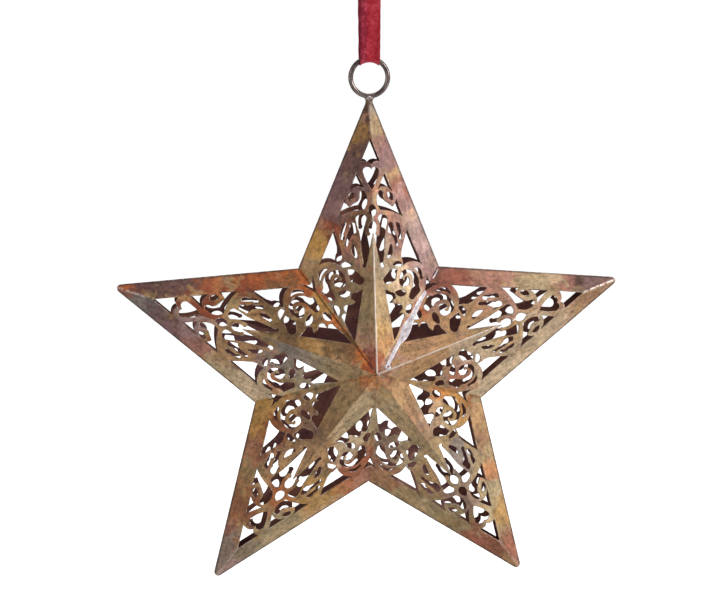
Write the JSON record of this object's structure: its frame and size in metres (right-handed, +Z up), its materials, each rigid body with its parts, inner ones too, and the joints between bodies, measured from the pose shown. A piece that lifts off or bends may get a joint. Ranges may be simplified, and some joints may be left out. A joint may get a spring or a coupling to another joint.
{
  "type": "hanging star ornament",
  "caption": "Hollow five-point star of pierced, patinated tin sheet with folded arms, front and back alike, hanging by a wire ring from a narrow ribbon loop.",
  "frame": {"origin": "top of the ribbon loop's inside, where the loop bears on the hook or twig that it hangs from", "axes": "+Z up, along the hanging line; +X to the right in the front view; the front face looks along -Y"},
  "size_m": [0.152, 0.0398, 0.1939],
  "materials": {
    "tin_sheet": "satin",
    "solder": "satin",
    "ring_wire": "satin",
    "ribbon_velvet": "matte"
  },
  "bodies": {
    "ribbon": {"ribbon": "ribbon_velvet"},
    "star": {"front_leaf_top": "tin_sheet", "front_leaf_upper_right": "tin_sheet", "front_leaf_lower_right": "tin_sheet", "front_leaf_lower_left": "tin_sheet", "front_leaf_upper_left": "tin_sheet", "back_leaf_top": "tin_sheet", "back_leaf_upper_right": "tin_sheet", "back_leaf_lower_right": "tin_sheet", "back_leaf_lower_left": "tin_sheet", "back_leaf_upper_left": "tin_sheet", "front_solder_upper_right": "solder", "front_solder_right": "solder", "front_solder_bottom": "solder", "front_solder_left": "solder", "front_solder_upper_left": "solder", "back_solder_upper_right": "solder", "back_solder_right": "solder", "back_solder_bottom": "solder", "back_solder_left": "solder", "back_solder_upper_left": "solder", "rim_solder": "solder", "hanging_ring": "ring_wire", "ring_solder": "solder"}
  },
  "joints": [
    {"name": "star_swing", "type": "hinge", "parent": "ribbon", "child": "star", "pos_m": [0, 0, -0.036], "axis": [1, 0, 0], "range_deg": [-90, 90]}
  ]
}
